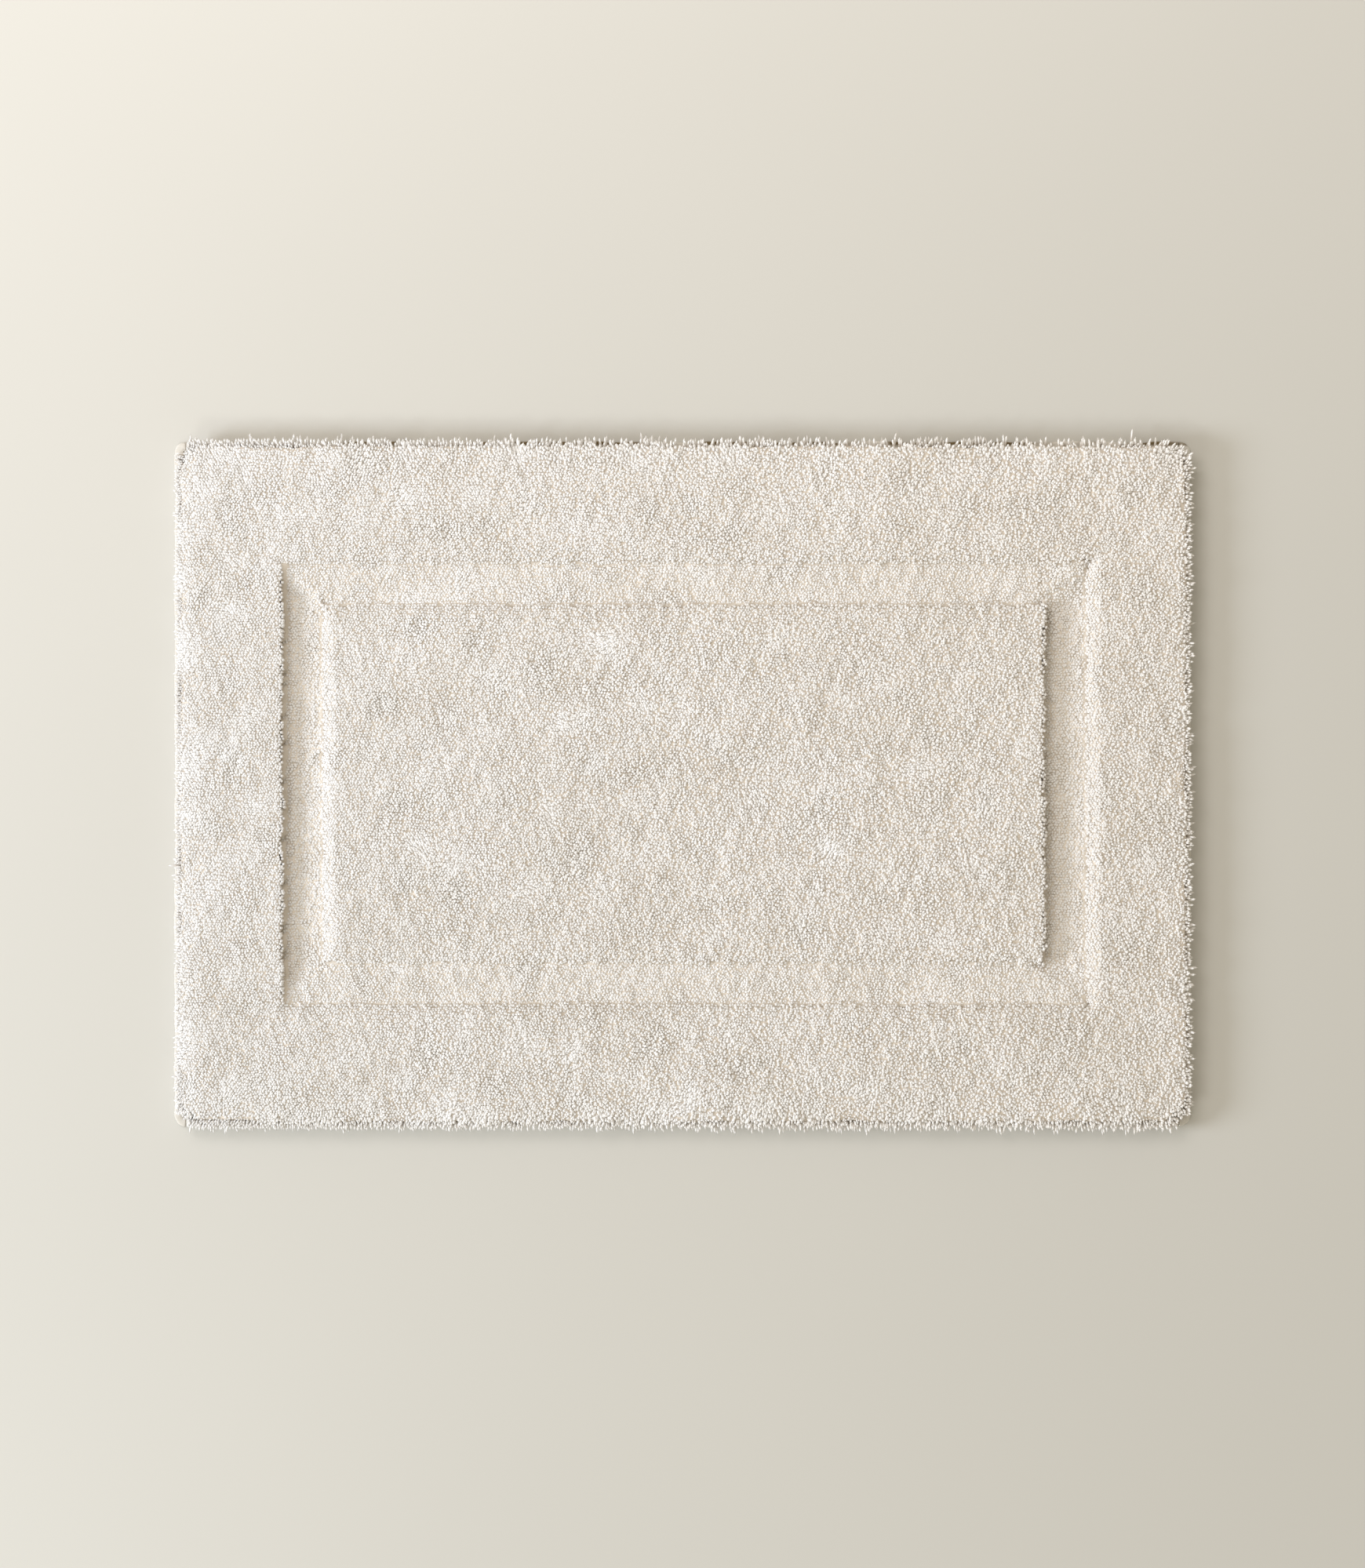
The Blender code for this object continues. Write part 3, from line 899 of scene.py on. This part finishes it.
def math_node(tree, operation, place, first, second=None):
    """A Math node. Each operand is a number or a socket to link."""
    made = node(tree, "ShaderNodeMath", place, operation=operation)
    for index, operand in enumerate((first, second)):
        if operand is None:
            continue
        if isinstance(operand, (int, float)):
            made.inputs[index].default_value = operand
        else:
            tree.links.new(operand, made.inputs[index])
    return made.outputs[0]


def noise(tree, place, vector, scale, detail=2.0):
    """A Noise texture over vector. Returns its factor."""
    made = node(tree, "ShaderNodeTexNoise", place)
    made.inputs["Scale"].default_value = scale
    made.inputs["Detail"].default_value = detail
    tree.links.new(vector, made.inputs["Vector"])
    return made.outputs[0]


def rising(tree, place, value, start, full):
    """0 up to start, 1 from full on and a straight ramp between."""
    made = node(tree, "ShaderNodeMapRange", place)
    made.inputs["From Min"].default_value = start
    made.inputs["From Max"].default_value = full
    tree.links.new(value, made.inputs["Value"])
    return made.outputs[0]


def weave_group():
    """Plain weave: two sets of threads cross, each over and under by turns. Gives height and shade."""
    group, start, end = new_group(
        "plain_weave",
        [("Vector", "NodeSocketVector", None), ("Thread Pitch", "NodeSocketFloat", 0.0006)],
        [("Height", "NodeSocketFloat"), ("Shade", "NodeSocketFloat")],
    )
    split = node(group, "ShaderNodeSeparateXYZ", (-700, 0))
    group.links.new(start.outputs["Vector"], split.inputs[0])
    turns = math_node(group, "DIVIDE", (-700, -200), math.pi, start.outputs["Thread Pitch"])
    warp = math_node(group, "MULTIPLY", (-500, 100), split.outputs[0], turns)
    warp = math_node(group, "SINE", (-300, 100), warp)
    weft = math_node(group, "MULTIPLY", (-500, -100), split.outputs[1], turns)
    weft = math_node(group, "SINE", (-300, -100), weft)
    crossing = math_node(group, "MULTIPLY", (-100, 0), warp, weft)
    height = math_node(group, "ABSOLUTE", (100, 0), crossing)
    slub = noise(group, (-300, -350), start.outputs["Vector"], 160.0, 3.0)
    raised = math_node(group, "ADD", (200, -50), height, 0.6)
    shade = math_node(group, "MULTIPLY", (300, -200), slub, raised)
    group.links.new(height, end.inputs["Height"])
    group.links.new(shade, end.inputs["Shade"])
    return group


def yarn_group():
    """Spun yarn: two plies wind round each other and loose fibres lie along them."""
    group, start, end = new_group(
        "spun_yarn",
        [("Vector", "NodeSocketVector", None), ("Twists", "NodeSocketFloat", 3.0)],
        [("Height", "NodeSocketFloat"), ("Along", "NodeSocketFloat")],
    )
    split = node(group, "ShaderNodeSeparateXYZ", (-700, 0))
    group.links.new(start.outputs["Vector"], split.inputs[0])
    climb = math_node(group, "MULTIPLY", (-500, -100), split.outputs[1], start.outputs["Twists"])
    wind = math_node(group, "ADD", (-300, 0), split.outputs[0], climb)
    ply = math_node(group, "MULTIPLY", (-200, 0), wind, math.tau)
    ply = math_node(group, "SINE", (-100, 0), ply)
    ply = math_node(group, "ABSOLUTE", (100, 0), ply)
    stretch = node(group, "ShaderNodeCombineXYZ", (-300, -300))
    group.links.new(math_node(group, "MULTIPLY", (-450, -300), wind, 14.0), stretch.inputs[0])
    group.links.new(math_node(group, "MULTIPLY", (-450, -400), split.outputs[1], 2.0), stretch.inputs[1])
    fibre = noise(group, (-100, -300), stretch.outputs[0], 1.6)
    height = math_node(group, "ADD", (300, 0), ply, fibre)
    group.links.new(height, end.inputs["Height"])
    group.links.new(split.outputs[1], end.inputs["Along"])
    return group


def ramp(tree, place, source, positions, colours):
    """A colour ramp fed by source, from one colour at its position to the next."""
    made = node(tree, "ShaderNodeValToRGB", place)
    for element, position, colour in zip(made.color_ramp.elements, positions, colours):
        element.position = position
        element.color = (*colour, 1.0)
    tree.links.new(source, made.inputs[0])
    return made.outputs[0]


def mix_colour(tree, place, share, first, second, blend="MIX"):
    made = node(tree, "ShaderNodeMix", place, data_type="RGBA", blend_type=blend)
    for socket, value in ((made.inputs[0], share), (made.inputs[6], first), (made.inputs[7], second)):
        if isinstance(value, (int, float)):
            socket.default_value = value
        elif isinstance(value, tuple):
            socket.default_value = (*value, 1.0)
        else:
            tree.links.new(value, socket)
    return made.outputs[2]


def bump(tree, place, height, strength, distance, shader):
    made = node(tree, "ShaderNodeBump", place)
    made.inputs["Strength"].default_value = strength
    made.inputs["Distance"].default_value = distance
    tree.links.new(height, made.inputs["Height"])
    tree.links.new(made.outputs[0], shader.inputs["Normal"])


def pile_material(yarn):
    """Off-white cotton yarn: each tuft its own tone, darker and greyer at the left end and duller at the
    root, both painted shade.
    """
    material, shader = principled(
        "cotton_pile", PILE_COLOURS[1], 0.92, sheen=0.20, sheen_roughness=0.45, specular=0.15
    )
    tree = material.node_tree
    tone = node(tree, "ShaderNodeAttribute", (-1100, 300), attribute_name="tone")
    own = ramp(tree, (-900, 300), tone.outputs["Fac"], (0.0, 1.0), PILE_COLOURS)
    place = node(tree, "ShaderNodeTexCoord", (-1300, 0))
    drift = noise(tree, (-1100, 0), place.outputs["Object"], 14.0, 3.0)
    shift = ramp(tree, (-900, 0), drift, (0.35, 0.65), PILE_DRIFT)
    toned = mix_colour(tree, (-600, 200), 1.0, own, shift, "MULTIPLY")
    # Painted shade: the pile is darkened towards the left end, which evens out the stronger window light
    # there.
    split = node(tree, "ShaderNodeSeparateXYZ", (-1100, 600))
    tree.links.new(place.outputs["Object"], split.inputs[0])
    span = math_node(tree, "DIVIDE", (-1000, 600), split.outputs[0], 2 * HALF_X)
    span = math_node(tree, "ADD", (-900, 600), span, 0.5)
    left_shade = ramp(tree, (-700, 600), span, (0.0, 1.0), PAINTED_LEFT_SHADE)
    toned = mix_colour(tree, (-400, 400), 1.0, toned, left_shade, "MULTIPLY")
    surface = node(tree, "ShaderNodeUVMap", (-1300, -300), uv_map="surface")
    spun = node(tree, "ShaderNodeGroup", (-1100, -300), node_tree=yarn)
    spun.inputs["Twists"].default_value = 3.0
    tree.links.new(surface.outputs[0], spun.inputs["Vector"])
    # Painted shade: each yarn darkens towards its root, as if shaded deep in the pile.
    depth = ramp(tree, (-900, -300), spun.outputs["Along"], (0.20, 0.85), ((0.0,) * 3, (1.0,) * 3))
    colour = mix_colour(tree, (-300, 200), depth, ROOT_SHADE_COLOUR, toned)
    tree.links.new(colour, shader.inputs["Base Color"])
    bump(tree, (-300, -300), spun.outputs["Height"], 0.20, 0.00025, shader)
    return material


def cloth_material(name, weave, colours, pitch, vector, sheen):
    """Woven cotton: thread height drives the bump, and slubs and gaps shade it to the dull colour."""
    material, shader = principled(name, colours[0], 0.88, sheen=sheen, specular=0.2)
    tree = material.node_tree
    if vector == "surface":
        source = node(tree, "ShaderNodeUVMap", (-900, 0), uv_map="surface").outputs[0]
    else:
        source = node(tree, "ShaderNodeTexCoord", (-900, 0)).outputs["Object"]
    threads = node(tree, "ShaderNodeGroup", (-700, 0), node_tree=weave)
    threads.inputs["Thread Pitch"].default_value = pitch
    tree.links.new(source, threads.inputs["Vector"])
    shade = ramp(tree, (-500, 100), threads.outputs["Shade"], (0.15, 0.65), colours[::-1])
    tree.links.new(shade, shader.inputs["Base Color"])
    bump(tree, (-300, -200), threads.outputs["Height"], 0.5, pitch * 0.35, shader)
    return material


def brown_hem_fold(material):
    """The back edge's fold, turned dark brown in patches except at the far left end."""
    tree = material.node_tree
    shader = tree.nodes["Principled BSDF"]
    cloth = shader.inputs["Base Color"].links[0].from_socket
    place = node(tree, "ShaderNodeTexCoord", (-900, 500))
    split = node(tree, "ShaderNodeSeparateXYZ", (-700, 500))
    tree.links.new(place.outputs["Object"], split.inputs[0])
    at_edge = rising(tree, (-500, 600), split.outputs[1], HALF_Y - FOLD_BAND[0], HALF_Y - FOLD_BAND[1])
    patches = noise(tree, (-500, 350), place.outputs["Object"], 22.0)
    patchy = rising(tree, (-300, 350), patches, 0.36, 0.50)
    along = rising(tree, (-300, 600), split.outputs[0], -0.96 * HALF_X, -0.80 * HALF_X)
    share = math_node(tree, "MULTIPLY", (-100, 450), at_edge, patchy)
    share = math_node(tree, "MULTIPLY", (0, 500), share, along)
    browned = mix_colour(tree, (100, 300), share, cloth, FOLD_BROWN)
    tree.links.new(browned, shader.inputs["Base Color"])


def latex_material():
    """A satin tan film, mottled, with the back stitches showing as dimples."""
    material, shader = principled("latex_film", (0.56, 0.44, 0.28), 0.55, specular=0.4)
    tree = material.node_tree
    place = node(tree, "ShaderNodeTexCoord", (-900, 0))
    mottle = noise(tree, (-700, 100), place.outputs["Object"], 60.0, 5.0)
    colour = ramp(tree, (-500, 100), mottle, (0.3, 0.7), LATEX_COLOURS)
    tree.links.new(colour, shader.inputs["Base Color"])
    dimples = node(tree, "ShaderNodeTexVoronoi", (-700, -200))
    dimples.inputs["Scale"].default_value = 260.0
    tree.links.new(place.outputs["Object"], dimples.inputs["Vector"])
    bump(tree, (-300, -200), dimples.outputs["Distance"], 0.4, 0.0003, shader)
    return material


def thread_material():
    """Glazed cotton thread with a slight sheen and uneven dye."""
    material, shader = principled("sewing_thread", (0.80, 0.76, 0.69), 0.65, sheen=0.1, specular=0.35)
    tree = material.node_tree
    place = node(tree, "ShaderNodeTexCoord", (-900, 0))
    twist = node(tree, "ShaderNodeTexWave", (-700, 0), bands_direction="DIAGONAL")
    twist.inputs["Scale"].default_value = 900.0
    tree.links.new(place.outputs["Object"], twist.inputs["Vector"])
    colour = ramp(tree, (-500, 100), twist.outputs[1], (0.0, 1.0), THREAD_COLOURS)
    tree.links.new(colour, shader.inputs["Base Color"])
    bump(tree, (-300, -200), twist.outputs[1], 0.4, 0.0001, shader)
    return material


# ---- The mat ----

def make_mat():
    weave = weave_group()
    yarn = yarn_group()
    pile = make_pile(pile_material(yarn))
    backing = cloth_material("backing_weave", weave, BACKING_COLOURS, 0.0011, "object", 0.05)
    tape = cloth_material("tape_weave", weave, TAPE_COLOURS, 0.0005, "surface", 0.15)
    brown_hem_fold(tape)
    hem = make_hem(tape, thread_material())
    latex = latex_sheet(latex_material())
    inset = HALF_X - high("base_cloth", X)
    cloth = slab("base_cloth", inset, HEM_CORNER - inset, CLOTH_BOTTOM, CLOTH_TOP, backing)
    stand_in(cloth, "base_cloth", "base_cloth")


# ---- Floor, light and camera ----

def make_floor():
    """A plain pale floor, far wider than the view."""
    half = 6.0
    points = np.array([(-half, -half, 0), (half, -half, 0), (half, half, 0), (-half, half, 0)], float)
    points[:, 2] = CAD_BOX[0][2] - 0.0002
    material, shader = principled("plain_floor", FLOOR_COLOUR, 0.75, specular=0.25)
    tree = material.node_tree
    place = node(tree, "ShaderNodeTexCoord", (-700, 0))
    grain = noise(tree, (-500, 0), place.outputs["Object"], 2.0)
    duller = tuple(c * 0.985 for c in FLOOR_COLOUR)
    shade = ramp(tree, (-300, 0), grain, (0.3, 0.7), (duller, FLOOR_COLOUR))
    tree.links.new(shade, shader.inputs["Base Color"])
    floor = mesh_piece("floor", points, [np.array([(0, 1, 2, 3)])], material)


def area_light(name, place, target, size, watts, colour):
    lamp = bpy.data.lights.new(name, "AREA")
    lamp.shape = "DISK"
    lamp.size = size
    lamp.energy = watts
    lamp.color = colour
    light = bpy.data.objects.new(name, lamp)
    light.visible_camera = False
    light.location = place
    offset = np.subtract(target, place)
    flat = math.hypot(offset[0], offset[1])
    turn = math.atan2(offset[1], offset[0]) - math.pi / 2
    light.rotation_euler = (math.atan2(flat, -offset[2]), 0.0, turn)
    bpy.context.scene.collection.objects.link(light)
    return light


def make_light():
    """A low broad window on the left, softboxes overhead, behind and in front, and a pale room."""
    area_light("soft_window", (-3.06, -0.60, 1.52), (0.0, 0.0, 0.0), 1.3, 94.5, (0.81, 0.889, 1.0))
    area_light("high_softbox", (-1.03, 1.32, 2.45), (-0.91, 1.51, 0.0), 1.8, 24.0, (1.0, 0.952, 0.954))
    area_light("back_softbox", (-0.86, 2.66, 1.90), (-0.91, 3.87, 0.0), 1.8, 164.0, (1.0, 0.984, 0.969))
    area_light("front_softbox", (-1.56, -2.15, 2.28), (-1.85, -2.80, 0.0), 1.4, 38.0, (0.966, 1.0, 0.968))
    world = bpy.data.worlds.new("pale_room")
    world.use_nodes = True
    background = world.node_tree.nodes["Background"]
    background.inputs["Color"].default_value = (1.0, 0.930, 0.777, 1.0)
    background.inputs["Strength"].default_value = 0.592
    bpy.context.scene.world = world
    bpy.context.scene.view_settings.view_transform = "Standard"


def make_camera():
    """A long lens straight above the middle of the mat, with the mat's back edge at the top."""
    lens = bpy.data.cameras.new("overhead")
    lens.lens = LENS
    lens.sensor_width = SENSOR
    camera = bpy.data.objects.new("overhead", lens)
    camera.location = (0.0, 0.0, HEM_TOP + VIEW_HEIGHT * LENS / SENSOR)
    bpy.context.scene.collection.objects.link(camera)
    bpy.context.scene.camera = camera


make_camera()
make_light()
make_floor()
make_mat()
